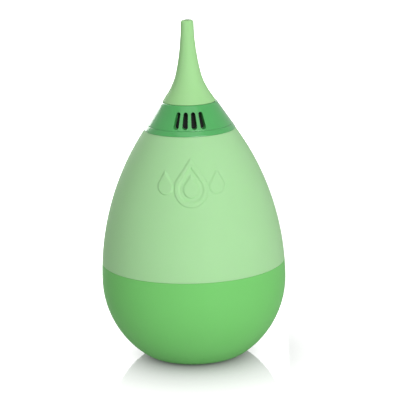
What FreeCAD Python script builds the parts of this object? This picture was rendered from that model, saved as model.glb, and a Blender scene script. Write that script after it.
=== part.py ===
"""Squeeze-bulb nasal aspirator: a drop-shaped silicone bulb with a valve head and a soft nozzle.

Frame: +Z up along the axis, the front (thumb side) faces -Y, and the origin is the centre of the
flat foot. Lengths are in millimetres.

How it works: pressing the front wall drives air up through the exhaust valve and out of the vent
slots, while the intake flap stays shut, so nothing is blown into the nose. When the wall springs
back the exhaust valve shuts, the flap opens and the nozzle draws into the trap cup.
"""
import FreeCAD, Part
import math
import os
import Sketcher
from FreeCAD import Placement, Rotation, Vector

# Driving dimensions: alias, value, what it is.
DRIVING = [
    ("body_radius", 34.0, "round lower half of the drop"),
    ("ball_height", 29.5, "height of the widest point over the foot"),
    ("shoulder_radius", 99.0, "long arc from the widest point up to the cone"),
    ("cone_angle", 33.8, "half angle of the cone through the collar, degrees"),
    ("flare_start", 98.6, "height where the cone turns into the nozzle flare"),
    ("flare_radius", 23.7, "lower, tighter arc of the nozzle flare"),
    ("flare_angle", 12.6, "slope where the two flare arcs meet, degrees"),
    ("taper_radius", 85.0, "upper, longer arc of the nozzle flare"),
    ("taper_angle", 2.0, "slope of the straight nozzle tip, degrees"),
    ("overall_height", 125.4, "foot to nozzle tip"),
    ("tip_round", 0.95, "rounding of the nozzle tip"),
    ("tip_bore", 1.2, "radius of the nozzle's suction hole"),
    ("bore_taper_top", 116.2, "height where the suction hole starts to widen"),
    ("wall", 2.8, "silicone wall of the bulb and the base"),
    ("foot_round", 12.0, "rounding from the flat foot into the round half"),
    ("foot_recess", 8.0, "radius of the dished middle of the foot"),
    ("foot_dish", 0.6, "depth of the dished middle of the foot"),
    ("floor_top", 4.5, "inside floor of the base, thick so that the bulb stands"),
    ("seam_height", 36.1, "seam between the base and the bulb"),
    ("lap_height", 4.0, "height of the base's tongue inside the bulb"),
    ("lap_radius", 32.2, "outer radius of that tongue"),
    ("mouth_height", 85.6, "top of the bulb, where the collar base rests"),
    ("mouth_radius", 12.7, "hole in the bulb's mouth"),
    ("mouth_bottom", 78.2, "lower edge of the straight mouth"),
    ("neck_bottom", 74.7, "where the thick mouth meets the bulb's wall"),
    ("barb_height", 80.7, "middle of the snap bead on the spigot"),
    ("barb_half", 0.5, "half of the bead's flat"),
    ("barb_rise", 0.6, "how far the bead stands out"),
    ("spigot_bottom", 77.7, "lower end of the collar base's spigot"),
    ("spigot_wall", 1.8, "wall of the spigot"),
    ("ring_top", 87.4, "top of the collar base's flange"),
    ("collar_top", 95.7, "top of the vent collar"),
    ("collar_wall", 2.0, "depth of the vent collar's inner face under the drop's outline"),
    ("collar_proud", 0.2, "how far the collar stands out of the drop's outline"),
    ("deck_bottom", 93.9, "underside of the collar's deck"),
    ("deck_top", 94.9, "deck that the nozzle's shank sits on"),
    ("deck_hole", 5.6, "radius of the hole in the deck, clear of the draw tube"),
    ("shank_radius", 7.4, "short shank under the nozzle"),
    ("groove_inner", 13.5, "inner radius of the flange's groove"),
    ("groove_width", 1.2, "width of that groove"),
    ("groove_depth", 1.1, "depth of that groove"),
    ("edge_bevel", 0.3, "small bevel that leaves a fine line between two pieces"),
    ("slot_bottom", 88.95, "centre of a slot's wide lower end"),
    ("slot_top", 92.8, "centre of a slot's narrow upper end"),
    ("slot_bottom_width", 2.1, "width of the lower end"),
    ("slot_top_width", 1.6, "width of the upper end"),
    ("slot_count", 4, "slots in one group"),
    ("slot_pitch", 13.0, "angle from slot to slot, degrees"),
    ("slot_start", 8.35, "how far from the axis a slot's cut begins"),
    ("filter_wall", 1.9, "foam filter's thickness"),
    ("filter_bottom", 87.6, "lower edge of the foam filter"),
    ("filter_top", 93.6, "upper edge of the foam filter"),
    ("seat_height", 83.9, "ledge in the collar base that carries the seal"),
    ("seal_height", 0.8, "thickness of the flat seal"),
    ("plate_radius", 11.75, "valve plate"),
    ("plate_height", 2.2, "thickness of the valve plate"),
    ("tube_radius", 4.9, "outside of the draw tube"),
    ("tube_bore", 3.4, "inside of the draw tube"),
    ("tube_top", 101.7, "upper end of the draw tube, in the nozzle"),
    ("tube_bottom", 80.7, "lower end of the draw tube"),
    ("skirt_radius", 9.3, "skirt under the plate that carries the trap cup"),
    ("skirt_wall", 1.0, "wall of that skirt"),
    ("skirt_bottom", 81.7, "lower edge of that skirt"),
    ("port_count", 8, "exhaust ports through the plate"),
    ("port_circle", 7.15, "radius of the circle the ports lie on"),
    ("port_radius", 1.05, "one exhaust port"),
    ("disc_inner", 5.2, "hole in the exhaust valve"),
    ("disc_outer", 9.0, "outside of the exhaust valve"),
    ("disc_height", 0.8, "thickness of the exhaust valve"),
    ("disc_lift", 1.4, "height of the retainer over the shut exhaust valve"),
    ("retainer_radius", 7.8, "outside of the valve retainer"),
    ("retainer_height", 1.0, "thickness of the valve retainer"),
    ("notch_radius", 1.1, "air notch in the retainer's rim"),
    ("notch_count", 6, "air notches"),
    ("sleeve_radius", 6.1, "outside of the intake valve's sleeve"),
    ("sleeve_top", 84.3, "upper end of the sleeve"),
    ("seat_hole", 3.2, "hole that the intake flap closes"),
    ("seat_thickness", 1.0, "web round that hole"),
    ("flap_radius", 4.6, "intake flap"),
    ("flap_height", 0.8, "thickness of the intake flap"),
    ("flap_hinge", 6.0, "distance of the flap's hinge line behind the axis"),
    ("flap_tab", 3.2, "width of the flap's hinge tab"),
    ("cup_bottom", 57.7, "underside of the trap cup"),
    ("cup_top", 84.1, "rim of the trap cup"),
    ("cup_wall", 0.9, "wall of the trap cup"),
    ("cup_round", 4.0, "rounding of the cup's bottom edge"),
    ("window_bottom", 72.2, "lower edge of the cup's air windows"),
    ("window_height", 4.0, "height of an air window"),
    ("window_width", 3.2, "width of an air window"),
    ("window_count", 6, "air windows"),
    ("panel_height", 51.2, "middle of the pressed part of the front wall"),
    ("panel_radius", 10.7, "radius of that part"),
    ("panel_gap", 0.2, "clearance round that part"),
    ("emblem_height", 70.7, "middle of the raised drop mark"),
    ("emblem_relief", 0.45, "how far the mark stands out"),
    ("emblem_line", 1.7, "width of the mark's outline"),
    ("drop_radius", 6.0, "round end of the large drop"),
    ("drop_length", 16.2, "tip to round end of the large drop"),
    ("small_drop_radius", 2.6, "round end of a small drop"),
    ("small_drop_length", 7.8, "tip to round end of a small drop"),
    ("small_drop_offset", 9.1, "distance of a small drop from the middle"),
    ("gap", 0.05, "clearance where one piece fits into another"),
    ("slide_gap", 0.1, "clearance where one piece moves in another"),
]


class Size:
    """A length or angle that knows its value and the spreadsheet expression behind it."""

    def __init__(self, value, text):
        self.value = float(value)
        self.text = text

    @staticmethod
    def of(other):
        return other if isinstance(other, Size) else Size(other, repr(float(other)))

    def join(self, other, sign, value):
        return Size(value, f"({self.text} {sign} {Size.of(other).text})")

    def __add__(self, other):
        return self.join(other, "+", self.value + Size.of(other).value)

    def __sub__(self, other):
        return self.join(other, "-", self.value - Size.of(other).value)

    def __mul__(self, other):
        return self.join(other, "*", self.value * Size.of(other).value)

    def __truediv__(self, other):
        return self.join(other, "/", self.value / Size.of(other).value)

    def __neg__(self):
        return Size(-self.value, f"(0 - {self.text})")


def root(square):
    return Size(math.sqrt(square.value), f"sqrt({square.text})")


def sine(angle):
    return Size(math.sin(math.radians(angle.value)), f"sin({angle.text})")


def cosine(angle):
    return Size(math.cos(math.radians(angle.value)), f"cos({angle.text})")


def make_sheet(doc):
    """Writes the driving dimensions and returns them as sizes by name."""
    sheet = doc.addObject("Spreadsheet::Sheet", "Sizes")
    sizes = {}
    for row, (alias, value, note) in enumerate(DRIVING, 1):
        sheet.set(f"A{row}", note)
        sheet.set(f"B{row}", str(value))
        sheet.setAlias(f"B{row}", alias)
        sizes[alias] = Size(value, f"Sizes.{alias}")
    doc.recompute()
    return sizes


doc = FreeCAD.newDocument("aspirator")
size = make_sheet(doc)
ZERO = Size(0, "0")

# ---------------------------------------------------------------- outline of the drop

ball_height = size["ball_height"]
slope = sine(size["cone_angle"]) / cosine(size["cone_angle"])
cone_start = ball_height + size["shoulder_radius"] * sine(size["cone_angle"])


def shoulder(height, inset=0.0):
    """Radius of the long arc above the widest point, or of its parallel inset into the wall."""
    radius = size["shoulder_radius"] - inset
    rise = height - ball_height
    return root(radius * radius - rise * rise) + size["body_radius"] - size["shoulder_radius"]


cone_start_radius = shoulder(cone_start)


def cone(height, inset=0.0):
    """Radius of the cone that runs through the collar, or of its parallel inset into the wall."""
    level = Size.of(inset) / cosine(size["cone_angle"])
    return cone_start_radius - (height - cone_start) * slope - level


def collar_face(height):
    """Radius of the collar's outer face, just proud of the cone."""
    return cone(height, -size["collar_proud"])


def flare_end(r, z, radius, start, end):
    """Where a concave arc ends that leaves the point (r, z) at one slope and reaches another."""
    return (
        r + radius * (cosine(start) - cosine(end)),
        z + radius * (sine(start) - sine(end)),
    )


# ---------------------------------------------------------------- sketches and features


def plane_of(body, role):
    return next(f for f in body.Origin.OriginFeatures if f.Role == role)


def new_body(label):
    body = doc.addObject("PartDesign::Body", label)
    body.Label = label
    return body


def arc_middle(start, end, radius, side):
    """The middle point of the shorter arc between two points, bulging to one side of the way."""
    chord = end - start
    half = chord.Length / 2
    across = Vector(chord.y, -chord.x, 0).normalize() * side
    sagitta = radius - math.sqrt(max(radius * radius - half * half, 0))
    return start + chord * 0.5 + across * sagitta


def pin_point(sketch, line, end, across, up):
    """Holds one end of a line at bound distances from the sketch's origin."""
    for kind, bound, axis in (("DistanceX", across, -2), ("DistanceY", up, -1)):
        if abs(bound.value) < 1e-9:
            sketch.addConstraint(Sketcher.Constraint("PointOnObject", line, end, axis))
            continue
        if bound.value > 0:
            rule = Sketcher.Constraint(kind, -1, 1, line, end, bound.value)
        else:
            rule = Sketcher.Constraint(kind, line, end, -1, 1, -bound.value)
            bound = -bound
        index = sketch.addConstraint(rule)
        sketch.setExpression(f"Constraints[{index}]", bound.text)


def draw(sketch, outline):
    """Draws a closed outline of (across, up) points. A point may add (radius, side) for an arc."""
    first = None
    previous = None
    for here, there in zip(outline, outline[1:] + outline[:1]):
        start = Vector(here[0].value, here[1].value, 0)
        end = Vector(there[0].value, there[1].value, 0)
        head, tail = 1, 2
        if len(here) == 2:
            line = sketch.addGeometry(Part.LineSegment(start, end))
        else:
            radius, side = here[2:]
            middle = arc_middle(start, end, radius.value, side)
            if side < 0:
                # a sketch keeps its arcs counter-clockwise, so this one is drawn from its far end
                head, tail = 2, 1
                start, end = end, start
            line = sketch.addGeometry(Part.Arc(start, middle, end))
            index = sketch.addConstraint(Sketcher.Constraint("Radius", line, radius.value))
            sketch.setExpression(f"Constraints[{index}]", radius.text)
        pin_point(sketch, line, head, here[0], here[1])
        if previous is None:
            first = (line, head)
        else:
            sketch.addConstraint(Sketcher.Constraint("Coincident", *previous, line, head))
        previous = (line, tail)
    sketch.addConstraint(Sketcher.Constraint("Coincident", *previous, *first))


def new_sketch(body, name, outline, role="XZ_Plane", turn=0.0, out=None):
    """A sketch on one of the body's own planes, turned about the axis and moved out along its normal."""
    sketch = body.newObject("Sketcher::SketchObject", name)
    sketch.AttachmentSupport = (plane_of(body, role), [""])
    sketch.MapMode = "FlatFace"
    if turn or out is not None:
        rotation = Rotation(Vector(0, 1, 0), turn)
        away = rotation.multVec(Vector(0, 0, out.value if out else 0))
        sketch.AttachmentOffset = Placement(away, rotation)
    draw(sketch, outline)
    return sketch


def revolve(label, outline):
    """A body turned about Z from an outline of (radius, height) points."""
    body = new_body(label)
    sketch = new_sketch(body, label + "_outline", outline)
    turned = body.newObject("PartDesign::Revolution", label + "_turned")
    turned.Profile = sketch
    turned.ReferenceAxis = (sketch, ["V_Axis"])
    turned.Angle = 360
    sketch.Visibility = False
    doc.recompute()
    return body


def cut_away(body, name, sketch, length=None):
    """Cuts a sketch along its normal, through everything or for a bound length. It must remove material."""
    before = body.Shape.Volume
    pocket = body.newObject("PartDesign::Pocket", name)
    pocket.Profile = sketch
    pocket.Reversed = True
    if length is None:
        pocket.Type = "ThroughAll"
    else:
        pocket.Length = length.value
        pocket.setExpression("Length", length.text)
    doc.recompute()
    if body.Shape.Volume > before - 1e-3:
        raise RuntimeError(f"{name} cuts nothing")
    return pocket


def repeat_round(body, name, feature, count, angle):
    """Repeats a feature round Z and makes the pattern the body's tip."""
    before = body.Shape.Volume
    pattern = body.newObject("PartDesign::PolarPattern", name)
    pattern.Originals = [feature]
    pattern.Axis = (plane_of(body, "Z_Axis"), [""])
    pattern.Occurrences = int(count.value)
    pattern.setExpression("Occurrences", count.text)
    pattern.Angle = angle.value
    pattern.setExpression("Angle", angle.text)
    body.Tip = pattern
    doc.recompute()
    if body.Shape.Volume > before - 1e-3:
        raise RuntimeError(f"{name} repeats nothing")


def ring(label, inner, outer, bottom, height):
    """A plain flat ring: one cylinder cut out of another."""
    parts = []
    for name, radius in (("_outside", outer), ("_hole", inner)):
        cylinder = doc.addObject("Part::Cylinder", label + name)
        cylinder.setExpression("Radius", radius.text)
        cylinder.setExpression("Height", height.text)
        cylinder.setExpression("Placement.Base.z", bottom.text)
        parts.append(cylinder)
    return combine("Part::Cut", label, *parts)


def combine(kind, label, base, tool):
    """A boolean of two objects."""
    result = doc.addObject(kind, label)
    result.Label = label
    result.Base = base
    result.Tool = tool
    doc.recompute()
    return result


def circle_outline(radius, across, up):
    """A circle as four arcs round a centre."""
    corners = [
        (across + radius, up),
        (across, up + radius),
        (across - radius, up),
        (across, up - radius),
    ]
    return [(x, z, radius, 1) for x, z in corners]


# ---------------------------------------------------------------- silicone pieces


def make_base_cup():
    """Lower silicone shell: rounded foot, thick floor, and a tongue that laps inside the bulb."""
    seam = size["seam_height"]
    lap_top = seam + size["lap_height"]
    inner = size["body_radius"] - size["wall"]
    floor_drop = ball_height - size["floor_top"]
    floor_radius = root(inner * inner - floor_drop * floor_drop)
    spread = size["body_radius"] - size["foot_round"]
    drop = ball_height - size["foot_round"]
    foot_radius = root(spread * spread - drop * drop)
    reach = size["body_radius"] / spread
    return revolve("base_cup", [
        (ZERO, size["foot_dish"]),
        (size["foot_recess"], size["foot_dish"]),
        (size["foot_recess"] + size["foot_dish"], ZERO),
        (foot_radius, ZERO, size["foot_round"], 1),
        (foot_radius * reach, ball_height - drop * reach, size["body_radius"], 1),
        (size["body_radius"], ball_height, size["shoulder_radius"], 1),
        (shoulder(seam), seam),
        (size["lap_radius"], seam),
        (size["lap_radius"], lap_top),
        (shoulder(lap_top, size["wall"]), lap_top, size["shoulder_radius"] - size["wall"], -1),
        (inner, ball_height, inner, -1),
        (floor_radius, size["floor_top"]),
        (ZERO, size["floor_top"]),
    ])


def make_bulb_blank():
    """Upper silicone shell before its front window and its mark: one wall, with a thick mouth."""
    seam = size["seam_height"]
    lap_top = seam + size["lap_height"] + size["gap"]
    lap = size["lap_radius"] + size["gap"]
    mouth = size["mouth_radius"]
    top = size["mouth_height"]
    catch = mouth + size["barb_rise"]
    flat = size["barb_half"] + size["slide_gap"]
    barb = size["barb_height"]
    bevel = size["edge_bevel"]
    return revolve("bulb_blank", [
        (shoulder(seam), seam, size["shoulder_radius"], 1),
        (cone_start_radius, cone_start),
        (cone(top), top),
        (mouth + bevel, top),
        (mouth, top - bevel),
        (mouth, barb + flat + size["barb_rise"]),
        (catch, barb + flat),
        (catch, barb - flat),
        (mouth, barb - flat - size["barb_rise"]),
        (mouth, size["mouth_bottom"]),
        (shoulder(size["neck_bottom"], size["wall"]), size["neck_bottom"],
         size["shoulder_radius"] - size["wall"], -1),
        (shoulder(lap_top, size["wall"]), lap_top),
        (lap, lap_top),
        (lap, seam),
    ])


def drop_outline(radius, length, across, height, inset=0.0):
    """A drop standing on its round end, or its parallel inset: two tangent sides and a round end."""
    middle = height - (length - radius * 2) / 2
    reach = length - radius
    lean = radius / reach
    upright = root(Size.of(1) - lean * lean)
    small = radius - inset
    tip = middle + (reach / radius) * small
    side = small * upright
    level = middle + small * lean
    return [
        (across, tip),
        (across - side, level, small, 1),
        (across, middle - small, small, 1),
        (across + side, level),
    ]


def raise_prism(name, outline):
    """A straight prism through the front wall, standing on an outline."""
    body = new_body(name)
    sketch = new_sketch(body, name + "_outline", outline, out=size["shank_radius"] * 2)
    pad = body.newObject("PartDesign::Pad", name + "_pad")
    pad.Profile = sketch
    pad.setExpression("Length", size["body_radius"].text)
    sketch.Visibility = False
    doc.recompute()
    return body


def make_mark():
    """Raised mark on the bulb: a drop drawn as an outline with a drop inside, and two small drops."""
    height = size["emblem_height"]
    large = (size["drop_radius"], size["drop_length"], ZERO, height)
    line = size["emblem_line"]
    frame = combine(
        "Part::Cut", "mark_frame",
        raise_prism("mark_outer", drop_outline(*large)),
        raise_prism("mark_inner", drop_outline(*large, inset=line)),
    )
    pieces = [frame, raise_prism("mark_core", drop_outline(*large, inset=line * 1.9))]
    for side, name in ((-1, "mark_left"), (1, "mark_right")):
        across = size["small_drop_offset"] * side
        small = drop_outline(size["small_drop_radius"], size["small_drop_length"], across, height)
        pieces.append(raise_prism(name, small))
    prisms = doc.addObject("Part::MultiFuse", "mark_prisms")
    prisms.Shapes = pieces
    low = height - size["drop_length"]
    high = height + size["drop_length"]
    relief = size["emblem_relief"]
    skin = revolve("mark_skin", [
        (shoulder(low, -relief), low, size["shoulder_radius"] + relief, 1),
        (shoulder(high, -relief), high),
        (shoulder(high, size["edge_bevel"]), high, size["shoulder_radius"] - size["edge_bevel"], -1),
        (shoulder(low, size["edge_bevel"]), low),
    ])
    return combine("Part::Common", "mark", prisms, skin)


def front_plug(name, radius):
    """A cylinder along Y through the front wall, at the height of the pressed part."""
    plug = doc.addObject("Part::Cylinder", name)
    plug.setExpression("Radius", radius.text)
    plug.setExpression("Height", size["body_radius"].text)
    plug.Placement = Placement(Vector(0, 0, 0), Rotation(Vector(1, 0, 0), 90))
    plug.setExpression("Placement.Base.y", f"-{size['shank_radius'].text} * 2")
    plug.setExpression("Placement.Base.z", size["panel_height"].text)
    return plug


def make_bulb(blank):
    """The bulb: the shell with a round opening for the pressed wall, and the raised mark."""
    window = front_plug("window_plug", size["panel_radius"] + size["panel_gap"])
    opened = combine("Part::Cut", "bulb_opened", blank, window)
    return combine("Part::Fuse", "bulb", opened, make_mark())


def make_squeeze_panel(blank):
    """The part of the bulb's front wall that the thumb presses in."""
    plug = front_plug("panel_plug", size["panel_radius"])
    return combine("Part::Common", "squeeze_panel", blank, plug)


def make_nozzle():
    """Soft nozzle: a flared horn with a shank, a socket for the draw tube and a fine suction hole."""
    base = size["collar_top"]
    start = size["flare_start"]
    waist = flare_end(
        cone(start), start, size["flare_radius"], size["cone_angle"], size["flare_angle"])
    neck = flare_end(*waist, size["taper_radius"], size["flare_angle"], size["taper_angle"])
    top = size["overall_height"]
    tip_level = top - size["tip_round"]
    taper = sine(size["taper_angle"]) / cosine(size["taper_angle"])
    tip = neck[0] - (tip_level - neck[1]) * taper
    socket = size["tube_radius"] + size["gap"]
    socket_top = size["tube_top"] + size["slide_gap"]
    return revolve("nozzle", [
        (cone(base), base),
        (cone(start), start, size["flare_radius"], -1),
        (*waist, size["taper_radius"], -1),
        neck,
        (tip, tip_level, size["tip_round"], 1),
        (tip - size["tip_round"], top),
        (size["tip_bore"], top),
        (size["tip_bore"], size["bore_taper_top"]),
        (size["tube_bore"], socket_top),
        (socket, socket_top),
        (socket, size["deck_top"]),
        (size["shank_radius"], size["deck_top"]),
        (size["shank_radius"], base),
    ])


def make_intake_valve():
    """Silicone sleeve stretched over the lower end of the draw tube, with the flap's seat."""
    seat_top = size["tube_bottom"]
    seat_bottom = seat_top - size["seat_thickness"]
    grip = size["tube_radius"] + size["gap"]
    return revolve("intake_valve", [
        (size["seat_hole"], seat_bottom),
        (size["sleeve_radius"], seat_bottom),
        (size["sleeve_radius"], size["sleeve_top"]),
        (grip, size["sleeve_top"]),
        (grip, seat_top),
        (size["seat_hole"], seat_top),
    ])


def make_intake_flap():
    """Silicone flap under the seat, with a tab that reaches its hinge line at the back."""
    top = size["tube_bottom"] - size["seat_thickness"] - size["gap"]
    bottom = top - size["flap_height"]
    disc = doc.addObject("Part::Cylinder", "flap_disc")
    disc.setExpression("Radius", size["flap_radius"].text)
    disc.setExpression("Height", size["flap_height"].text)
    disc.setExpression("Placement.Base.z", bottom.text)
    tab = doc.addObject("Part::Box", "flap_tab_block")
    tab.setExpression("Length", size["flap_tab"].text)
    tab.setExpression("Width", size["flap_hinge"].text)
    tab.setExpression("Height", size["flap_height"].text)
    tab.setExpression("Placement.Base.x", (-size["flap_tab"] / 2).text)
    tab.setExpression("Placement.Base.z", bottom.text)
    return combine("Part::Fuse", "intake_flap", disc, tab)


def make_exhaust_valve():
    """Loose silicone disc round the draw tube that covers the exhaust ports."""
    return ring("exhaust_valve", size["disc_inner"], size["disc_outer"], plate_top, size["disc_height"])


def make_plate_seal():
    """Flat silicone seal between the collar base's ledge and the valve plate."""
    inner = size["mouth_radius"] - size["spigot_wall"]
    return ring("plate_seal", inner, size["plate_radius"], size["seat_height"], size["seal_height"])


# ---------------------------------------------------------------- rigid pieces

plate_bottom = size["seat_height"] + size["seal_height"]
plate_top = plate_bottom + size["plate_height"]


def make_collar_base():
    """Flange that shows as the collar's lower strip, with a barbed spigot into the bulb's mouth."""
    top = size["ring_top"]
    foot = size["mouth_height"]
    bevel = size["edge_bevel"]
    outside = size["mouth_radius"] - size["slide_gap"]
    inside = size["mouth_radius"] - size["spigot_wall"] - size["slide_gap"]
    seat = size["plate_radius"] + size["gap"]
    groove = size["groove_inner"]
    barb = size["barb_height"]
    half = size["barb_half"]
    rise = size["barb_rise"]
    return revolve("collar_base", [
        (collar_face(foot), foot),
        (collar_face(top - bevel), top - bevel),
        (collar_face(top) - bevel, top),
        (groove + size["groove_width"], top),
        (groove + size["groove_width"], top - size["groove_depth"]),
        (groove, top - size["groove_depth"]),
        (groove, top),
        (seat, top),
        (seat, size["seat_height"]),
        (inside, size["seat_height"]),
        (inside, size["spigot_bottom"]),
        (outside - bevel, size["spigot_bottom"]),
        (outside, size["spigot_bottom"] + bevel),
        (outside, barb - half - rise),
        (outside + rise, barb - half),
        (outside + rise, barb + half),
        (outside, barb + half + rise),
        (outside, foot),
    ])


def slot_outline():
    """One vent slot, wider at its lower end, with round ends."""
    low = size["slot_bottom_width"] / 2
    high = size["slot_top_width"] / 2
    return [
        (low, size["slot_bottom"]),
        (high, size["slot_top"], high, 1),
        (ZERO, size["slot_top"] + high, high, 1),
        (-high, size["slot_top"]),
        (-low, size["slot_bottom"], low, 1),
        (ZERO, size["slot_bottom"] - low, low, 1),
    ]


def make_vent_collar():
    """Conical cover with a deck for the nozzle, a tongue for the groove, and vents front and back."""
    foot = size["ring_top"]
    top = size["collar_top"]
    bevel = size["edge_bevel"]
    wall = size["collar_wall"]
    tongue_in = size["groove_inner"] + size["slide_gap"]
    tongue_out = size["groove_inner"] + size["groove_width"] - size["slide_gap"]
    tongue_foot = foot - size["groove_depth"] + size["slide_gap"]
    recess = size["shank_radius"] + size["slide_gap"]
    body = revolve("vent_collar", [
        (collar_face(foot) - bevel, foot),
        (collar_face(foot + bevel), foot + bevel),
        (collar_face(top - bevel), top - bevel),
        (collar_face(top) - bevel, top),
        (recess, top),
        (recess, size["deck_top"]),
        (size["deck_hole"], size["deck_top"]),
        (size["deck_hole"], size["deck_bottom"]),
        (cone(size["deck_bottom"], wall), size["deck_bottom"]),
        (cone(foot, wall), foot),
        (tongue_in, foot),
        (tongue_in, tongue_foot),
        (tongue_out, tongue_foot),
        (tongue_out, foot),
    ])
    sweep = size["slot_pitch"] * (size["slot_count"] - 1)
    for side, facing in (("front", 0.0), ("back", 180.0)):
        turn = facing - sweep.value / 2
        sketch = new_sketch(
            body, side + "_slot", slot_outline(), turn=turn, out=size["slot_start"])
        pocket = cut_away(body, side + "_slot_cut", sketch)
        repeat_round(body, side + "_slots", pocket, size["slot_count"], sweep)
    return body


def make_filter_ring():
    """Black foam cone behind the slots, which keeps spray in."""
    low = size["filter_bottom"]
    high = size["filter_top"]
    behind = size["collar_wall"] + size["slide_gap"]
    thick = size["filter_wall"]
    return revolve("filter_ring", [
        (cone(low, behind), low),
        (cone(high, behind), high),
        (cone(high, behind) - thick, high),
        (cone(low, behind) - thick, low),
    ])


def make_valve_body():
    """Plate with exhaust ports, the draw tube through its middle and a skirt for the trap cup."""
    bore = size["tube_bore"]
    tube = size["tube_radius"]
    skirt = size["skirt_radius"]
    bevel = size["edge_bevel"]
    body = revolve("valve_body", [
        (bore, size["tube_bottom"]),
        (tube, size["tube_bottom"]),
        (tube, plate_bottom),
        (skirt - size["skirt_wall"], plate_bottom),
        (skirt - size["skirt_wall"], size["skirt_bottom"]),
        (skirt, size["skirt_bottom"]),
        (skirt, plate_bottom),
        (size["plate_radius"], plate_bottom),
        (size["plate_radius"], plate_top),
        (tube, plate_top),
        (tube, size["tube_top"] - bevel),
        (tube - bevel, size["tube_top"]),
        (bore, size["tube_top"]),
    ])
    port = circle_outline(size["port_radius"], size["port_circle"], ZERO)
    sketch = new_sketch(body, "port", port, role="XY_Plane")
    pocket = cut_away(body, "port_cut", sketch)
    repeat_round(body, "ports", pocket, size["port_count"], Size.of(360))
    return body


def make_valve_retainer():
    """Notched washer pressed on the draw tube, which stops the exhaust valve's lift."""
    bottom = plate_top + size["disc_height"] + size["disc_lift"]
    top = bottom + size["retainer_height"]
    grip = size["tube_radius"] + size["gap"]
    body = revolve("valve_retainer", [
        (grip, bottom),
        (size["retainer_radius"], bottom),
        (size["retainer_radius"], top),
        (grip, top),
    ])
    notch = circle_outline(size["notch_radius"], size["retainer_radius"], ZERO)
    sketch = new_sketch(body, "notch", notch, role="XY_Plane")
    pocket = cut_away(body, "notch_cut", sketch)
    repeat_round(body, "notches", pocket, size["notch_count"], Size.of(360))
    return body


def make_trap_cup():
    """Clear cup pushed over the plate's skirt, with air windows above its fill level."""
    inside = size["skirt_radius"] + size["gap"]
    outside = inside + size["cup_wall"]
    bottom = size["cup_bottom"]
    curve = size["cup_round"]
    inner_curve = curve - size["cup_wall"]
    body = revolve("trap_cup", [
        (ZERO, bottom),
        (outside - curve, bottom, curve, 1),
        (outside, bottom + curve),
        (outside, size["cup_top"]),
        (inside, size["cup_top"]),
        (inside, bottom + curve, inner_curve, -1),
        (outside - curve, bottom + size["cup_wall"]),
        (ZERO, bottom + size["cup_wall"]),
    ])
    half = size["window_width"] / 2
    low = size["window_bottom"]
    high = low + size["window_height"]
    sketch = new_sketch(body, "window", [(-half, low), (half, low), (half, high), (-half, high)],
                        out=size["tube_radius"])
    pocket = cut_away(body, "window_cut", sketch)
    repeat_round(body, "windows", pocket, size["window_count"], Size.of(360))
    return body


# ---------------------------------------------------------------- build and write


def check_document():
    """Stops if any object failed."""
    for item in doc.Objects:
        if any(word in ("Invalid", "Error") for word in item.State):
            raise RuntimeError(f"{item.Label}: {item.State}")


def main():
    blank = make_bulb_blank()
    nodes = [
        make_base_cup(),
        make_bulb(blank),
        make_squeeze_panel(blank),
        make_collar_base(),
        make_plate_seal(),
        make_valve_body(),
        make_exhaust_valve(),
        make_valve_retainer(),
        make_intake_valve(),
        make_intake_flap(),
        make_trap_cup(),
        make_filter_ring(),
        make_vent_collar(),
        make_nozzle(),
    ]
    doc.recompute()
    check_document()
    for node in nodes:
        if node.Shape.isNull() or not node.Shape.isValid():
            raise RuntimeError(f"{node.Label} has no valid shape")
    os.makedirs("parts", exist_ok=True)
    for node in nodes:
        box = node.Shape.optimalBoundingBox()
        print(f"{node.Label}: {len(node.Shape.Solids)} solid, {node.Shape.Volume:.1f} mm3, "
              f"z {box.ZMin:.2f} to {box.ZMax:.2f}, width {box.XLength:.2f}")
        node.Shape.exportStep(f"parts/{node.Label}.step")


main()
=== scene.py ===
"""Squeeze-bulb nasal aspirator: soft skins, clear and glossy plastics, and the stage.

Heights and radii are in metres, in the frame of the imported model: +Z runs up the axis from the flat
foot, and the front, with the raised mark, faces -Y.
"""
import math

import bpy
from mathutils import Euler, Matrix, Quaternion, Vector


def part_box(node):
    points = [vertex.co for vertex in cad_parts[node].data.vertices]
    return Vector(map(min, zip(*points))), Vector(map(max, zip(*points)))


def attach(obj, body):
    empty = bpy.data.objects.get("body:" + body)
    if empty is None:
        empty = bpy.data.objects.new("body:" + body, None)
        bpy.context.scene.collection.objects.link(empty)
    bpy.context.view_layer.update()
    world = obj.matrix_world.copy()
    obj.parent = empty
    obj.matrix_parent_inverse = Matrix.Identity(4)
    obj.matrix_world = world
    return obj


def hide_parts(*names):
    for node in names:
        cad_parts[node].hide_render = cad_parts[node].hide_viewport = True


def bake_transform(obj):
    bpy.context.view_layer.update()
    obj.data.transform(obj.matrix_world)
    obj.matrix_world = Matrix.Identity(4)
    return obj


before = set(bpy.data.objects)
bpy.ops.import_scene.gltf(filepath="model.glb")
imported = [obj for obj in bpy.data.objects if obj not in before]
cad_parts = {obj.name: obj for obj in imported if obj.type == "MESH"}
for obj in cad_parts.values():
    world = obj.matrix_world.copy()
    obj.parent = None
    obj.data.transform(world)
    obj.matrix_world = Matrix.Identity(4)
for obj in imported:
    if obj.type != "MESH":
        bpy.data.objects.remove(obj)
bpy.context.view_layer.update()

bl_info = {
    "name": "Nasal aspirator",
    "version": (1, 0, 0),
    "blender": (4, 5, 0),
    "location": "View3D > Sidebar > Aspirator",
    "description": "Models the bulb, base, collar, nozzle and valve pieces of a nasal aspirator",
    "category": "Object",
}

MM = 0.001
TAU = math.tau


def low(node):
    """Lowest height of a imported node."""
    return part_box(node)[0].z


def high(node):
    """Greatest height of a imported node."""
    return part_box(node)[1].z


def reach(node):
    """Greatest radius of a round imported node."""
    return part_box(node)[1].x


# ---------------------------------------------------------------- settings


def length(name, description, default):
    """A length property in metres."""
    return bpy.props.FloatProperty(
        name=name, description=description, default=default, min=0.0, unit="LENGTH", precision=5)


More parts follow.
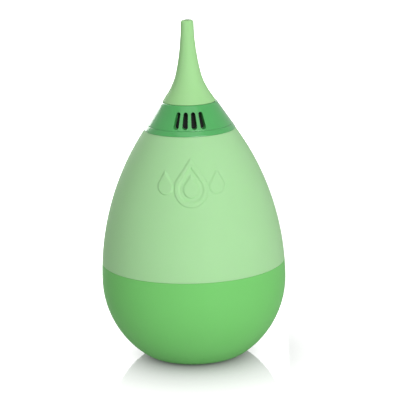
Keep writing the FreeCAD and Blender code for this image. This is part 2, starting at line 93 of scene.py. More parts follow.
def number(name, description, default):
    """A count of parts that repeat."""
    return bpy.props.IntProperty(name=name, description=description, default=default, min=1)


def angle(name, description, degrees):
    """An angle property, given in degrees."""
    return bpy.props.FloatProperty(
        name=name, description=description, default=math.radians(degrees), unit="ROTATION")


def colour(name, description, default):
    """A linear colour property."""
    return bpy.props.FloatVectorProperty(
        name=name, description=description, default=default, size=3, min=0.0, max=1.0, subtype="COLOR")


class AspiratorSizes(bpy.types.PropertyGroup):
    """Sizes that shape the pieces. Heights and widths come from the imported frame."""

    shoulder_radius: length("Shoulder arc", "Radius of the long arc above the widest point", 99 * MM)
    cone_angle: angle("Cone angle", "Half angle of the cone through the collar", 33.8)
    wall: length("Wall", "Silicone wall of the bulb and base", 2.8 * MM)
    ball_height: length("Widest point", "Height of the widest point over the foot", 29.5 * MM)
    foot_round: length("Foot round", "Rounding from the flat foot into the round half", 12 * MM)
    foot_recess: length("Foot recess", "Radius of the dished middle of the foot", 8.0 * MM)
    foot_dish: length("Foot dish", "Depth of the dished middle of the foot", 0.6 * MM)
    floor_top: length("Inside floor", "Height of the base's inside floor", 4.5 * MM)
    lap_radius: length("Lap", "Outer radius of the base's tongue in the bulb", 32.2 * MM)
    mouth_radius: length("Mouth", "Radius of the hole in the bulb's mouth", 12.7 * MM)
    neck_depth: length("Neck", "How far the thick mouth reaches under the spigot", 3 * MM)
    spigot_wall: length("Spigot wall", "Wall of the spigot in the bulb's mouth", 1.8 * MM)
    barb_height: length("Snap bead", "Height of the snap bead over the spigot's end", 3 * MM)
    barb_rise: length("Bead rise", "How far the snap bead stands out", 0.6 * MM)
    flare_start: length("Flare start", "Height of the nozzle's straight foot", 2.9 * MM)
    flare_radius: length("Lower flare", "Radius of the nozzle's lower flare arc", 23.7 * MM)
    flare_angle: angle("Flare slope", "Slope where the two flare arcs meet", 12.6)
    taper_radius: length("Upper flare", "Radius of the nozzle's upper flare arc", 85 * MM)
    taper_angle: angle("Tip slope", "Slope of the nozzle's straight tip", 2.0)
    tip_bore: length("Suction hole", "Radius of the hole in the nozzle's tip", 1.2 * MM)
    tip_depth: length("Suction depth", "Length of the narrow hole in the tip", 9.2 * MM)
    tip_round: length("Tip round", "Rounding of the nozzle's tip", 0.95 * MM)
    shank_radius: length("Shank", "Radius of the short shank under the nozzle", 7.4 * MM)
    collar_proud: length("Collar step", "How far the collar stands out of the drop's outline", 0.2 * MM)
    collar_wall: length("Collar depth", "Depth of the collar's inner face under the outline", 2 * MM)
    deck_thickness: length("Deck", "Thickness of the deck that carries the nozzle", 1 * MM)
    deck_hole: length("Deck hole", "Radius of the hole in the deck", 5.6 * MM)
    groove_inner: length("Flange groove", "Inner radius of the flange's groove", 13.5 * MM)
    groove_width: length("Groove width", "Width of the flange's groove", 1.2 * MM)
    groove_depth: length("Groove depth", "Depth of the flange's groove", 1.1 * MM)
    slot_count: number("Slots", "Vent slots in each of the two groups", 4)
    slot_pitch: angle("Slot pitch", "Turn from one vent slot to the next", 13.0)
    slot_low: length("Slot foot", "Width of a vent slot's lower end", 2.1 * MM)
    slot_high: length("Slot head", "Width of a vent slot's upper end", 1.6 * MM)
    slot_lift: length("Slot lift", "Height of a slot's lower centre over the seam", 1.55 * MM)
    slot_drop: length("Slot drop", "Depth of a slot's upper centre under the deck", 1.1 * MM)
    filter_wall: length("Filter", "Thickness of the foam filter", 1.9 * MM)
    tube_radius: length("Draw tube", "Outer radius of the draw tube", 4.9 * MM)
    tube_bore: length("Draw tube bore", "Inner radius of the draw tube", 3.4 * MM)
    skirt_radius: length("Skirt", "Outer radius of the skirt that carries the cup", 9.3 * MM)
    skirt_wall: length("Skirt wall", "Wall of that skirt", 1 * MM)
    skirt_depth: length("Skirt depth", "How far the skirt hangs under the plate", 3 * MM)
    port_count: number("Ports", "Exhaust ports in the valve plate", 8)
    port_radius: length("Port", "Radius of an exhaust port", 1.05 * MM)
    port_circle: length("Port circle", "Radius of the circle the ports lie on", 7.15 * MM)
    notch_count: number("Notches", "Air notches in the retainer's rim", 6)
    notch_radius: length("Notch", "Radius of an air notch in the retainer", 1.1 * MM)
    ring_gap: length("Exhaust ring gap", "Clearance of the exhaust ring round the draw tube", 0.3 * MM)
    seat_hole: length("Seat hole", "Radius of the hole that the flap closes", 3.2 * MM)
    flap_tab: length("Flap tab", "Width of the intake flap's hinge tab", 3.2 * MM)
    cup_wall: length("Cup wall", "Wall of the trap cup", 0.9 * MM)
    cup_round: length("Cup round", "Rounding of the trap cup's bottom edge", 4 * MM)
    window_count: number("Windows", "Air windows in the trap cup", 6)
    window_width: length("Window width", "Width of an air window in the cup", 3.2 * MM)
    window_height: length("Window height", "Height of an air window in the cup", 4 * MM)
    window_round: length("Window corner", "Rounding of a window's corners", 0.6 * MM)
    window_lift: length("Window lift", "Height of the windows over the cup's bottom", 14.5 * MM)
    edge_round: length("Edge round", "Small rounding of the moulded edges", 0.25 * MM)
    gap: length("Fit gap", "Clearance where one piece fits in another", 0.05 * MM)
    slide_gap: length("Slide gap", "Clearance where one piece slides in another", 0.1 * MM)
    mark_height: length("Mark height", "Height of the middle of the raised mark", 70.7 * MM)
    mark_relief: length("Mark relief", "How far the raised mark stands out", 0.45 * MM)
    mark_line: length("Mark line", "Width of the mark's outline", 1.7 * MM)
    mark_flank: length("Mark flank", "Width of the soft edge round the raised mark", 0.8 * MM)
    drop_radius: length("Large drop", "Radius of the large drop's round end", 6.0 * MM)
    drop_length: length("Large drop length", "Tip to round end of the large drop", 16.2 * MM)
    small_radius: length("Small drop", "Radius of a small drop's round end", 2.6 * MM)
    small_length: length("Small drop length", "Tip to round end of a small drop", 7.8 * MM)
    small_offset: length("Small drop offset", "Distance of a small drop from the middle", 9.1 * MM)


class AspiratorColours(bpy.types.PropertyGroup):
    """Colours of the materials, as linear values."""

    bulb: colour("Bulb", "Pale green silicone of the bulb", (0.392, 0.690, 0.348))
    base: colour("Base", "Mid green silicone of the base", (0.188, 0.585, 0.160))
    nozzle: colour("Nozzle", "Pale green silicone of the nozzle", (0.372, 0.684, 0.303))
    # the bore colour is painted shade: the inside of the suction hole is coloured darker, standing in for
    # the little light that reaches down it
    bore: colour("Nozzle bore", "Silicone inside the suction hole", (0.070, 0.180, 0.060))
    collar: colour("Collar", "Glossy green plastic of the collar", (0.085, 0.470, 0.122))
    valve: colour("Valve silicone", "Uncoloured silicone of the valves", (0.78, 0.80, 0.78))
    black: colour("Black plastic", "Black plastic of the valve plate", (0.012, 0.012, 0.012))
    foam: colour("Foam", "Black foam of the filter", (0.008, 0.008, 0.008))
    clear: colour("Clear plastic", "Clear plastic of the trap cup", (0.90, 0.95, 0.93))
    floor: colour("Floor", "Pale studio floor", (0.30, 0.30, 0.30))


class StageSettings(bpy.types.PropertyGroup):
    """Camera and light."""

    camera_distance: length("Camera distance", "Level distance from the axis to the camera", 0.700)
    camera_height: length("Camera height", "Height of the camera over the floor", 0.2283)
    camera_side: length("Camera side", "How far the camera stands to the right", 0.0030)
    camera_pitch: angle("Camera pitch", "How far the camera looks down", 13.64)
    camera_roll: angle("Camera roll", "How far the camera is turned about its own axis", 1.52)
    camera_lens: bpy.props.FloatProperty(
        name="Lens", description="Focal length in millimetres", default=175.97)
    key_strength: bpy.props.FloatProperty(
        name="Key light", description="Strength of the soft light from the front right", default=1.95)
    top_strength: bpy.props.FloatProperty(
        name="Top light", description="Strength of the soft light overhead", default=0.5)
    back_strength: bpy.props.FloatProperty(
        name="Back light", description="Strength of the soft light from behind", default=1.2)
    sky_strength: bpy.props.FloatProperty(
        name="Surround", description="Strength of the even white surround", default=0.30)
    table_glow: bpy.props.FloatProperty(
        name="Table glow", description="Light that the backlit table top shows", default=1.0)
    table_bounce: bpy.props.FloatProperty(
        name="Table bounce", description="Light that the table top throws on the object", default=0.36)
    mirror_share: bpy.props.FloatProperty(
        name="Mirrored surround", description="Share of full white that gloss mirrors", default=0.45)
    # how far the table's glow is darkened round the foot: the reach of a painted contact shadow
    shade_reach: length("Contact shade", "How far the table darkens round the foot", 0.034)


def sizes():
    """The sizes set in the scene."""
    return bpy.context.scene.aspirator_sizes


def colours():
    """The colours set in the scene."""
    return bpy.context.scene.aspirator_colours


# ---------------------------------------------------------------- outlines


def arc(centre, radius, first, last, steps):
    """Points along an arc in the (radius, height) plane. Angles count from the outward direction."""
    return [
        (centre[0] + radius * math.cos(first + (last - first) * step / steps),
         centre[1] + radius * math.sin(first + (last - first) * step / steps))
        for step in range(steps + 1)
    ]


def straight(start, end, steps):
    """Evenly spaced points from one point up to, and without, the next."""
    return [
        (start[0] + (end[0] - start[0]) * step / steps, start[1] + (end[1] - start[1]) * step / steps)
        for step in range(steps)
    ]


def rounded(before, corner, after, radius, steps=4):
    """The points of a round that takes the place of a sharp corner."""
    here = Vector(corner)
    back = (Vector(before) - here)
    onward = (Vector(after) - here)
    half = back.angle(onward) / 2
    setback = min(radius / math.tan(half), back.length * 0.49, onward.length * 0.49)
    start = here + back.normalized() * setback
    end = here + onward.normalized() * setback
    points = []
    for step in range(steps + 1):
        share = step / steps
        # a quadratic curve through the corner's two tangents is close to the arc at this size
        point = start * (1 - share) ** 2 + here * 2 * share * (1 - share) + end * share ** 2
        points.append((point.x, point.y))
    return points


def soften(corners, radius, closed=True, steps=4):
    """An outline with every corner rounded. A corner may carry its own radius as a third number."""
    points = []
    count = len(corners)
    for index, corner in enumerate(corners):
        own = corner[2] if len(corner) > 2 else radius
        inner = closed or 0 < index < count - 1
        if own <= 0 or not inner:
            points.append(corner[:2])
            continue
        before = corners[index - 1][:2]
        after = corners[(index + 1) % count][:2]
        points.extend(rounded(before, corner[:2], after, own, steps))
    return points


class Drop:
    """The drop's outline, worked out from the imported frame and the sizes."""

    def __init__(self):
        s = sizes()
        self.body = reach("base_cup")
        self.shoulder = s.shoulder_radius
        self.slope = s.cone_angle
        self.middle = s.ball_height
        self.seam = low("bulb")
        self.cone_height = self.middle + self.shoulder * math.sin(self.slope)
        self.cone_radius = self.body - self.shoulder * (1 - math.cos(self.slope))

    def arc_centre(self):
        return (self.body - self.shoulder, self.middle)

    def arc_angle(self, height, inset=0.0):
        """Where on the shoulder arc, or its parallel inset, a height lies."""
        return math.asin((height - self.middle) / (self.shoulder - inset))

    def radius(self, height, inset=0.0):
        """Outer radius at a height on the shoulder arc or the cone above it, or of the inset."""
        if height > self.cone_height:
            level = inset / math.cos(self.slope)
            return self.cone_radius - (height - self.cone_height) * math.tan(self.slope) - level
        radius = self.shoulder - inset
        return math.sqrt(radius ** 2 - (height - self.middle) ** 2) + self.body - self.shoulder

    def collar_face(self, height):
        """Outer radius of the collar at a height."""
        return self.radius(height, -sizes().collar_proud)

    def shoulder_points(self, bottom, top, inset=0.0, steps=60):
        """Points up the shoulder arc, or its inset."""
        return arc(self.arc_centre(), self.shoulder - inset,
                   self.arc_angle(bottom, inset), self.arc_angle(top, inset), steps)


# ---------------------------------------------------------------- modelling


def begin():
    """Leaves edit mode and deselects everything."""
    if bpy.context.object and bpy.context.object.mode != "OBJECT":
        bpy.ops.object.mode_set(mode="OBJECT")
    bpy.ops.object.select_all(action="DESELECT")


def choose(piece):
    """Makes a piece the only selected and active object."""
    begin()
    piece.select_set(True)
    bpy.context.view_layer.objects.active = piece


def turned(name, outline, closed=True, segments=192):
    """Spins an outline of (radius, height) points about the axis into one closed piece."""
    begin()
    first = outline[0]
    bpy.ops.mesh.primitive_plane_add(size=MM, location=(first[0], 0, first[1]))
    piece = bpy.context.object
    piece.name = name
    piece.data.name = name
    bpy.ops.object.transform_apply(location=True, rotation=True, scale=True)
    bpy.ops.object.mode_set(mode="EDIT")
    bpy.ops.mesh.select_mode(type="VERT")
    bpy.ops.mesh.select_all(action="SELECT")
    bpy.ops.mesh.merge(type="CENTER")
    route = outline[1:] + [first] if closed else outline[1:]
    here = first
    for point in route:
        step = (point[0] - here[0], 0, point[1] - here[1])
        bpy.ops.mesh.extrude_region_move(TRANSFORM_OT_translate={"value": step})
        here = point
    bpy.ops.mesh.select_all(action="SELECT")
    bpy.ops.mesh.remove_doubles(threshold=0.0005 * MM)
    bpy.ops.mesh.select_all(action="SELECT")
    bpy.ops.mesh.spin(steps=segments, angle=TAU, center=(0, 0, 0), axis=(0, 0, 1))
    bpy.ops.mesh.select_all(action="SELECT")
    bpy.ops.mesh.remove_doubles(threshold=0.0005 * MM)
    bpy.ops.mesh.select_all(action="SELECT")
    bpy.ops.mesh.normals_make_consistent(inside=False)
    bpy.ops.object.mode_set(mode="OBJECT")
    return piece


def smooth(piece, degrees=32):
    """Smooth shading except over sharp edges."""
    choose(piece)
    bpy.ops.object.shade_smooth_by_angle(angle=math.radians(degrees))


def apply_modifier(piece, modifier):
    """Applies a modifier to its piece."""
    choose(piece)
    bpy.ops.object.modifier_apply(modifier=modifier.name)


def cut(piece, cutter):
    """Cuts one mesh out of another and removes the cutter."""
    modifier = piece.modifiers.new("cut", "BOOLEAN")
    modifier.operation = "DIFFERENCE"
    modifier.solver = "EXACT"
    modifier.object = cutter
    apply_modifier(piece, modifier)
    bpy.data.objects.remove(cutter)


def repeat_round(cutter, angles):
    """Copies a cutter to each angle about the axis and joins the copies."""
    copies = []
    for turn in angles:
        twin = cutter.copy()
        twin.data = cutter.data.copy()
        bpy.context.scene.collection.objects.link(twin)
        twin.rotation_euler = (0, 0, turn)
        copies.append(twin)
    bpy.data.objects.remove(cutter)
    begin()
    for twin in copies:
        twin.select_set(True)
    bpy.context.view_layer.objects.active = copies[0]
    if len(copies) > 1:
        bpy.ops.object.join()
    bpy.ops.object.transform_apply(location=True, rotation=True, scale=True)
    return bpy.context.object


def finish_piece(piece, material):
    """Gives a piece its material."""
    piece.data.materials.clear()
    piece.data.materials.append(material)


# ---------------------------------------------------------------- the bulb and its mark


def drop_distance(across, up, radius, length):
    """Signed distance to a drop that stands on its round end, centred on the origin."""
    reach_up = length - radius
    base = (length - radius * 2) / -2
    lean = radius / reach_up
    upright = math.sqrt(1 - lean * lean)
    x = abs(across)
    y = up - base
    along = y * upright - x * lean
    if along < 0:
        return math.hypot(x, y) - radius
    if along > reach_up * upright:
        return math.hypot(x, y - reach_up)
    return x * upright + y * lean - radius


def raised(distance, edge):
    """Height share of a flat-topped relief with soft flanks: 1 inside, 0 outside."""
    share = min(max(0.5 - distance / edge, 0.0), 1.0)
    return share * share * (3 - 2 * share)


def mark_share(across, up):
    """How much of the full relief the mark has at a place, from 0 to 1."""
    s = sizes()
    large = drop_distance(across, up, s.drop_radius, s.drop_length)
    outline = abs(large + s.mark_line / 2) - s.mark_line / 2
    core = large + s.mark_line * 1.9
    side = drop_distance(abs(across) - s.small_offset, up, s.small_radius, s.small_length)
    return raised(min(outline, core, side), s.mark_flank)


def raise_mark(piece, drop):
    """Divides the front of the bulb finely and raises the mark out of it."""
    s = sizes()
    half_width = s.small_offset + s.small_radius + s.mark_flank * 2
    half_height = s.drop_length / 2 + s.mark_flank * 2
    choose(piece)
    bpy.ops.object.mode_set(mode="EDIT")
    bpy.ops.mesh.select_all(action="DESELECT")
    bpy.ops.object.mode_set(mode="OBJECT")
    for face in piece.data.polygons:
        place = face.center
        level = abs(place.z - s.mark_height) < half_height
        face.select = face.normal.y < -0.3 and place.y < 0 and abs(place.x) < half_width and level
    bpy.ops.object.mode_set(mode="EDIT")
    bpy.ops.mesh.subdivide(number_cuts=4)
    bpy.ops.object.mode_set(mode="OBJECT")
    for vertex in piece.data.vertices:
        place = vertex.co
        if place.y > 0 or abs(place.x) > half_width * 1.02:
            continue
        if abs(place.z - s.mark_height) > half_height * 1.05:
            continue
        level = math.hypot(place.x, place.y)
        skin = drop.radius(place.z)
        if abs(level - skin) > 0.3 * MM:
            continue
        share = mark_share(place.x, place.z - s.mark_height)
        grown = (skin + s.mark_relief * share) / level
        vertex.co = (place.x * grown, place.y * grown, place.z)


class OBJECT_OT_aspirator_bulb(bpy.types.Operator):
    """Models the pale silicone bulb with its thick mouth and raised mark"""

    bl_idname = "object.aspirator_bulb"
    bl_label = "Bulb"

    def execute(self, context):
        s = sizes()
        drop = Drop()
        top = high("bulb")
        lap_top = high("base_cup") + s.gap
        lap = s.lap_radius + s.gap
        mouth = s.mouth_radius
        groove = mouth + s.barb_rise
        spigot = low("collar_base")
        catch = spigot + s.barb_height
        neck_bottom = spigot - s.neck_depth
        seam_round = rounded(
            (lap, drop.seam), (drop.radius(drop.seam), drop.seam),
            (drop.radius(drop.seam + 2 * MM), drop.seam + 2 * MM), 0.22 * MM)
        outside = drop.shoulder_points(drop.seam + 0.5 * MM, drop.cone_height, steps=96)
        neck = soften([
            (drop.radius(drop.cone_height), drop.cone_height, 0),
            (drop.radius(top), top, 0.35 * MM),
            (mouth, top, 0.5 * MM),
            (mouth, catch + s.barb_rise * 2),
            (groove, catch + s.barb_rise),
            (groove, catch - s.barb_rise),
            (mouth, catch - s.barb_rise * 2),
            (mouth, spigot + 0.5 * MM, 1.0 * MM),
            (drop.radius(neck_bottom, s.wall), neck_bottom, 0),
        ], s.edge_round, closed=False)
        inside = drop.shoulder_points(neck_bottom, lap_top, inset=s.wall, steps=40)
        lap_step = soften([
            (drop.radius(lap_top, s.wall), lap_top, 0),
            (lap, lap_top),
            (lap, drop.seam, 0),
        ], 0.1 * MM, closed=False)
        outline = seam_round + outside + neck[1:] + inside[1:] + lap_step[1:]
        piece = turned("bulb_skin", outline, segments=256)
        raise_mark(piece, drop)
        smooth(piece, 40)
        finish_piece(piece, silicone("bulb silicone", colours().bulb, 0.52))
        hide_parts("bulb", "squeeze_panel")
        follow_thumb(piece)
        return {"FINISHED"}


def follow_thumb(piece):
    """Bakes a soft skin's placement into its mesh."""
    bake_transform(piece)


class OBJECT_OT_aspirator_base(bpy.types.Operator):
    """Models the mid green silicone base with its flat foot"""

    bl_idname = "object.aspirator_base"
    bl_label = "Base"

    def execute(self, context):
        s = sizes()
        drop = Drop()
        ball = (0.0, drop.middle)
        inner = drop.body - s.wall
        seam_radius = drop.radius(drop.seam)
        lap_top = high("base_cup")
        floor_angle = math.asin((s.floor_top - drop.middle) / inner)
        # the foot's round touches the ball where both centres and the touching point are in line
        spread = drop.body - s.foot_round
        touch_angle = math.asin((s.foot_round - drop.middle) / spread)
        foot_radius = spread * math.cos(touch_angle)
        outline = soften([
            (0.0, s.foot_dish, 0),
            (s.foot_recess, s.foot_dish),
            (s.foot_recess + s.foot_dish, 0.0),
            (foot_radius, 0.0, 0),
        ], s.edge_round, closed=False)[:-1]
        outline += arc((foot_radius, s.foot_round), s.foot_round, -math.pi / 2, touch_angle, 20)
        outline += arc(ball, drop.body, touch_angle, 0.0, 60)[1:]
        outline += drop.shoulder_points(drop.middle, drop.seam - 0.5 * MM, steps=12)[1:]
        outline += soften([
            (drop.radius(drop.seam - 0.5 * MM), drop.seam - 0.5 * MM, 0),
            (seam_radius, drop.seam, 0.22 * MM),
            (s.lap_radius, drop.seam, 0.15 * MM),
            (s.lap_radius, lap_top, 0.5 * MM),
            (drop.radius(lap_top, s.wall), lap_top, 0.3 * MM),
            (drop.radius(lap_top - 2 * MM, s.wall), lap_top - 2 * MM, 0),
        ], 0.2 * MM, closed=False)[1:]
        outline += drop.shoulder_points(lap_top - 2 * MM, drop.middle, inset=s.wall, steps=8)[1:]
        outline += arc(ball, inner, 0.0, floor_angle, 36)[1:]
        outline.append((0.0, s.floor_top))
        piece = turned("base_skin", outline, closed=False, segments=256)
        smooth(piece, 40)
        finish_piece(piece, silicone("base silicone", colours().base, 0.46))
        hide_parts("base_cup")
        follow_thumb(piece)
        return {"FINISHED"}


# ---------------------------------------------------------------- nozzle and collar

CUTTER_START = 8 * MM  # a slot's cutter starts this far in front of the axis, inside the collar
CUTTER_RUN = 12 * MM  # and runs this far outwards, past the collar's face


class OBJECT_OT_aspirator_nozzle(bpy.types.Operator):
    """Models the soft flared nozzle with its suction hole and socket"""

    bl_idname = "object.aspirator_nozzle"
    bl_label = "Nozzle"

    def execute(self, context):
        s = sizes()
        drop = Drop()
        base = high("vent_collar")
        start = base + s.flare_start
        top = high("nozzle")
        first = (drop.radius(start), start)
        flare = arc(
            (first[0] + s.flare_radius * math.cos(drop.slope),
             first[1] + s.flare_radius * math.sin(drop.slope)),
            s.flare_radius, math.pi + drop.slope, math.pi + s.flare_angle, 16)
        waist = flare[-1]
        upper = arc(
            (waist[0] + s.taper_radius * math.cos(s.flare_angle),
             waist[1] + s.taper_radius * math.sin(s.flare_angle)),
            s.taper_radius, math.pi + s.flare_angle, math.pi + s.taper_angle, 28)
        neck = upper[-1]
        tip = neck[0] - (top - neck[1]) * math.tan(s.taper_angle)
        socket = s.tube_radius + s.gap
        socket_top = high("valve_body") + s.slide_gap
        shank = s.shank_radius
        outline = soften([
            (shank, low("nozzle")),
            (shank, base, 0.12 * MM),
            (drop.radius(base), base, 0.3 * MM),
            (*first, 0),
        ], s.edge_round, closed=False)
        outline += flare[1:] + upper[1:]
        outline += arc((tip - s.tip_round, top - s.tip_round), s.tip_round, s.taper_angle, math.pi / 2, 12)
        outline += soften([
            (tip - s.tip_round, top, 0),
            (s.tip_bore, top, 0.1 * MM),
            (s.tip_bore, top - s.tip_depth, 0),
            (s.tube_bore, socket_top, 0),
            (socket, socket_top),
            (socket, low("nozzle")),
            (shank, low("nozzle"), 0),
        ], s.edge_round, closed=False)[1:-1]
        piece = turned("nozzle_skin", outline, segments=160)
        smooth(piece, 40)
        finish_piece(piece, silicone("nozzle silicone", colours().nozzle, 0.5))
        # faces inside the suction hole take the darker bore colour: painted shade in the hole
        piece.data.materials.append(silicone("nozzle bore painted shade", colours().bore, 0.6))
        for face in piece.data.polygons:
            if face.center.z > top - s.tip_depth and math.hypot(*face.center.xy) < s.tip_bore * 1.02:
                face.material_index = 1
        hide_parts("nozzle")
        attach(piece, "soft_nozzle")
        return {"FINISHED"}


def slot_cutter(bottom, top):
    """A round-ended prism through the front of the collar, narrower at its top."""
    s = sizes()
    begin()
    bpy.ops.mesh.primitive_circle_add(
        vertices=32, radius=s.slot_low / 2, fill_type="NGON",
        location=(0, -CUTTER_START, bottom), rotation=(math.radians(90), 0, 0))
    cutter = bpy.context.object
    bpy.ops.object.transform_apply(location=True, rotation=True, scale=True)
    narrow = s.slot_high / s.slot_low
    for vertex in cutter.data.vertices:
        if vertex.co.z > bottom - 0.01 * MM:
            vertex.co.x *= narrow
            vertex.co.z = top + (vertex.co.z - bottom) * narrow
    bpy.ops.object.mode_set(mode="EDIT")
    bpy.ops.mesh.select_all(action="SELECT")
    bpy.ops.mesh.extrude_region_move(TRANSFORM_OT_translate={"value": (0, -CUTTER_RUN, 0)})
    bpy.ops.mesh.select_all(action="SELECT")
    bpy.ops.mesh.normals_make_consistent(inside=False)
    bpy.ops.object.mode_set(mode="OBJECT")
    return cutter


def slot_angles():
    """Turns of the slots in the front group and the back group."""
    s = sizes()
    middle = (s.slot_count - 1) / 2
    return [
        facing + (index - middle) * s.slot_pitch
        for facing in (0.0, math.pi)
        for index in range(s.slot_count)
    ]


class OBJECT_OT_aspirator_vent_collar(bpy.types.Operator):
    """Models the glossy vent collar with its two groups of slots"""

    bl_idname = "object.aspirator_vent_collar"
    bl_label = "Vent collar"

    def execute(self, context):
        s = sizes()
        drop = Drop()
        foot = high("collar_base")
        top = high("vent_collar")
        wall = s.collar_wall
        deck_high = low("nozzle")
        deck_low = deck_high - s.deck_thickness
        recess = s.shank_radius + s.slide_gap
        tongue = low("vent_collar")
        tongue_in = s.groove_inner + s.slide_gap
        tongue_out = s.groove_inner + s.groove_width - s.slide_gap
        outer = [(drop.collar_face(foot), foot), (drop.collar_face(top), top)]
        inner = [(drop.radius(deck_low, wall), deck_low), (drop.radius(foot, wall), foot)]
        corners = [(*outer[0], 0.4 * MM)]
        corners += [(*point, 0) for point in straight(*outer, 18)[1:]]
        corners += [
            (*outer[1], 0.4 * MM),
            (recess, top, 0.2 * MM),
            (recess, deck_high),
            (s.deck_hole, deck_high),
            (s.deck_hole, deck_low),
            (*inner[0], 0.3 * MM),
        ]
        corners += [(*point, 0) for point in straight(*inner, 14)[1:]]
        corners += [
            (*inner[1], 0.2 * MM),
            (tongue_in, foot, 0),
            (tongue_in, tongue, 0.15 * MM),
            (tongue_out, tongue, 0.15 * MM),
            (tongue_out, foot, 0),
        ]
        piece = turned("vent_collar_shell", soften(corners, 0.15 * MM), segments=256)
        cutter = slot_cutter(foot + s.slot_lift, deck_low - s.slot_drop)
        cut(piece, repeat_round(cutter, slot_angles()))
        smooth(piece, 40)
        finish_piece(piece, tinted_plastic("collar plastic", colours().collar))
        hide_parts("vent_collar")
        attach(piece, "collar")
        return {"FINISHED"}


class OBJECT_OT_aspirator_collar_base(bpy.types.Operator):
    """Models the flange under the collar with its barbed spigot"""

    bl_idname = "object.aspirator_collar_base"
    bl_label = "Collar base"

    def execute(self, context):
        s = sizes()
        drop = Drop()
        foot = high("bulb")
        top = high("collar_base")
        outside = s.mouth_radius - s.slide_gap
        inside = outside - s.spigot_wall
        bottom = low("collar_base")
        barb = bottom + s.barb_height
        rise = s.barb_rise
        groove = s.groove_inner
        seat = reach("plate_seal") + s.gap
        ledge = low("plate_seal")
        corners = [
            (drop.collar_face(foot), foot, 0.2 * MM),
            (drop.collar_face(top), top, 0.4 * MM),
            (groove + s.groove_width, top, 0.1 * MM),
            (groove + s.groove_width, top - s.groove_depth),
            (groove, top - s.groove_depth),
            (groove, top),
            (seat, top),
            (seat, ledge),
            (inside, ledge),
            (inside, bottom),
            (outside, bottom, 0.4 * MM),
            (outside, barb - 1.1 * MM, 0.3 * MM),
            (outside + rise, barb - 0.5 * MM, 0.3 * MM),
            (outside + rise, barb + 0.5 * MM, 0.3 * MM),
            (outside, barb + 1.1 * MM, 0.3 * MM),
            (outside, foot, 0.2 * MM),
        ]
        piece = turned("collar_base_ring", soften(corners, 0.12 * MM), segments=256)
        smooth(piece, 40)
        finish_piece(piece, tinted_plastic("collar plastic", colours().collar))
        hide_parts("collar_base")
        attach(piece, "valve_head")
        return {"FINISHED"}


class OBJECT_OT_aspirator_filter(bpy.types.Operator):
    """Models the black foam ring behind the slots"""

    bl_idname = "object.aspirator_filter"
    bl_label = "Foam filter"

    def execute(self, context):
        s = sizes()
        drop = Drop()
        bottom = low("filter_ring")
        top = high("filter_ring")
        behind = s.collar_wall + s.slide_gap
        thick = s.filter_wall
        outer = [(drop.radius(bottom, behind), bottom), (drop.radius(top, behind), top)]
        inner = [(outer[1][0] - thick, top), (outer[0][0] - thick, bottom)]
        corners = [(*outer[0], 0.3 * MM)]
        corners += [(*point, 0) for point in straight(*outer, 16)[1:]]
        corners += [(*outer[1], 0.3 * MM), (*inner[0], 0.3 * MM)]
        corners += [(*point, 0) for point in straight(*inner, 16)[1:]]
        corners += [(*inner[1], 0.3 * MM)]
        piece = turned("filter_foam", soften(corners, 0.3 * MM), segments=200)
        smooth(piece, 60)
        finish_piece(piece, foam("filter foam", colours().foam))
        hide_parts("filter_ring")
        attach(piece, "collar")
        return {"FINISHED"}


# ---------------------------------------------------------------- valve pieces


def flat_ring(name, inner, outer, bottom, top, edge):
    """A flat ring with rounded edges."""
    corners = [(inner, bottom), (outer, bottom), (outer, top), (inner, top)]
    piece = turned(name, soften(corners, edge), segments=128)
    smooth(piece, 40)
    return piece


def upright_cylinder(radius, distance, bottom, top):
    """A closed cylinder that stands at a distance from the axis, used as a cutter."""
    begin()
    bpy.ops.mesh.primitive_cylinder_add(
        vertices=40, radius=radius, depth=top - bottom, location=(distance, 0, (bottom + top) / 2))
    bpy.ops.object.transform_apply(location=True, rotation=True, scale=True)
    return bpy.context.object


def even_turns(count):
    """Turns spread evenly round the axis."""
    return [TAU * index / count for index in range(count)]


class OBJECT_OT_aspirator_valve_plate(bpy.types.Operator):
    """Models the black valve plate with its draw tube, skirt and exhaust ports, and its retainer"""

    bl_idname = "object.aspirator_valve_plate"
    bl_label = "Valve plate"

    def execute(self, context):
        s = sizes()
        bottom = high("plate_seal")
        top = low("exhaust_valve")
        rim = reach("valve_body")
        skirt_in = s.skirt_radius - s.skirt_wall
        skirt_bottom = bottom - s.skirt_depth
        corners = [
            (s.tube_bore, low("valve_body"), 0.2 * MM),
            (s.tube_radius, low("valve_body"), 0.2 * MM),
            (s.tube_radius, bottom, 0.3 * MM),
            (skirt_in, bottom, 0.3 * MM),
            (skirt_in, skirt_bottom, 0.2 * MM),
            (s.skirt_radius, skirt_bottom, 0.35 * MM),
            (s.skirt_radius, bottom, 0.1 * MM),
            (rim, bottom, 0.15 * MM),
            (rim, top, 0.3 * MM),
            (s.tube_radius, top, 0.05 * MM),
            (s.tube_radius, high("valve_body"), 0.4 * MM),
            (s.tube_bore, high("valve_body"), 0.2 * MM),
        ]
        plate = turned("valve_plate", soften(corners, 0.2 * MM), segments=128)
        port = upright_cylinder(s.port_radius, s.port_circle, bottom - MM, top + MM)
        cut(plate, repeat_round(port, even_turns(s.port_count)))
        smooth(plate, 35)
        black = dark_plastic("black plastic", colours().black)
        finish_piece(plate, black)
        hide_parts("valve_body")
        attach(plate, "valve_head")
        self.make_retainer(black)
        return {"FINISHED"}

    def make_retainer(self, black):
        s = sizes()
        bottom = low("valve_retainer")
        top = high("valve_retainer")
        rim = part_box("valve_retainer")[1].y
        washer = flat_ring("retainer_washer", s.tube_radius + s.gap, rim, bottom, top, 0.15 * MM)
        notch = upright_cylinder(s.notch_radius, rim, bottom - MM, top + MM)
        cut(washer, repeat_round(notch, even_turns(s.notch_count)))
        smooth(washer, 35)
        finish_piece(washer, black)
        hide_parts("valve_retainer")
        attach(washer, "valve_head")


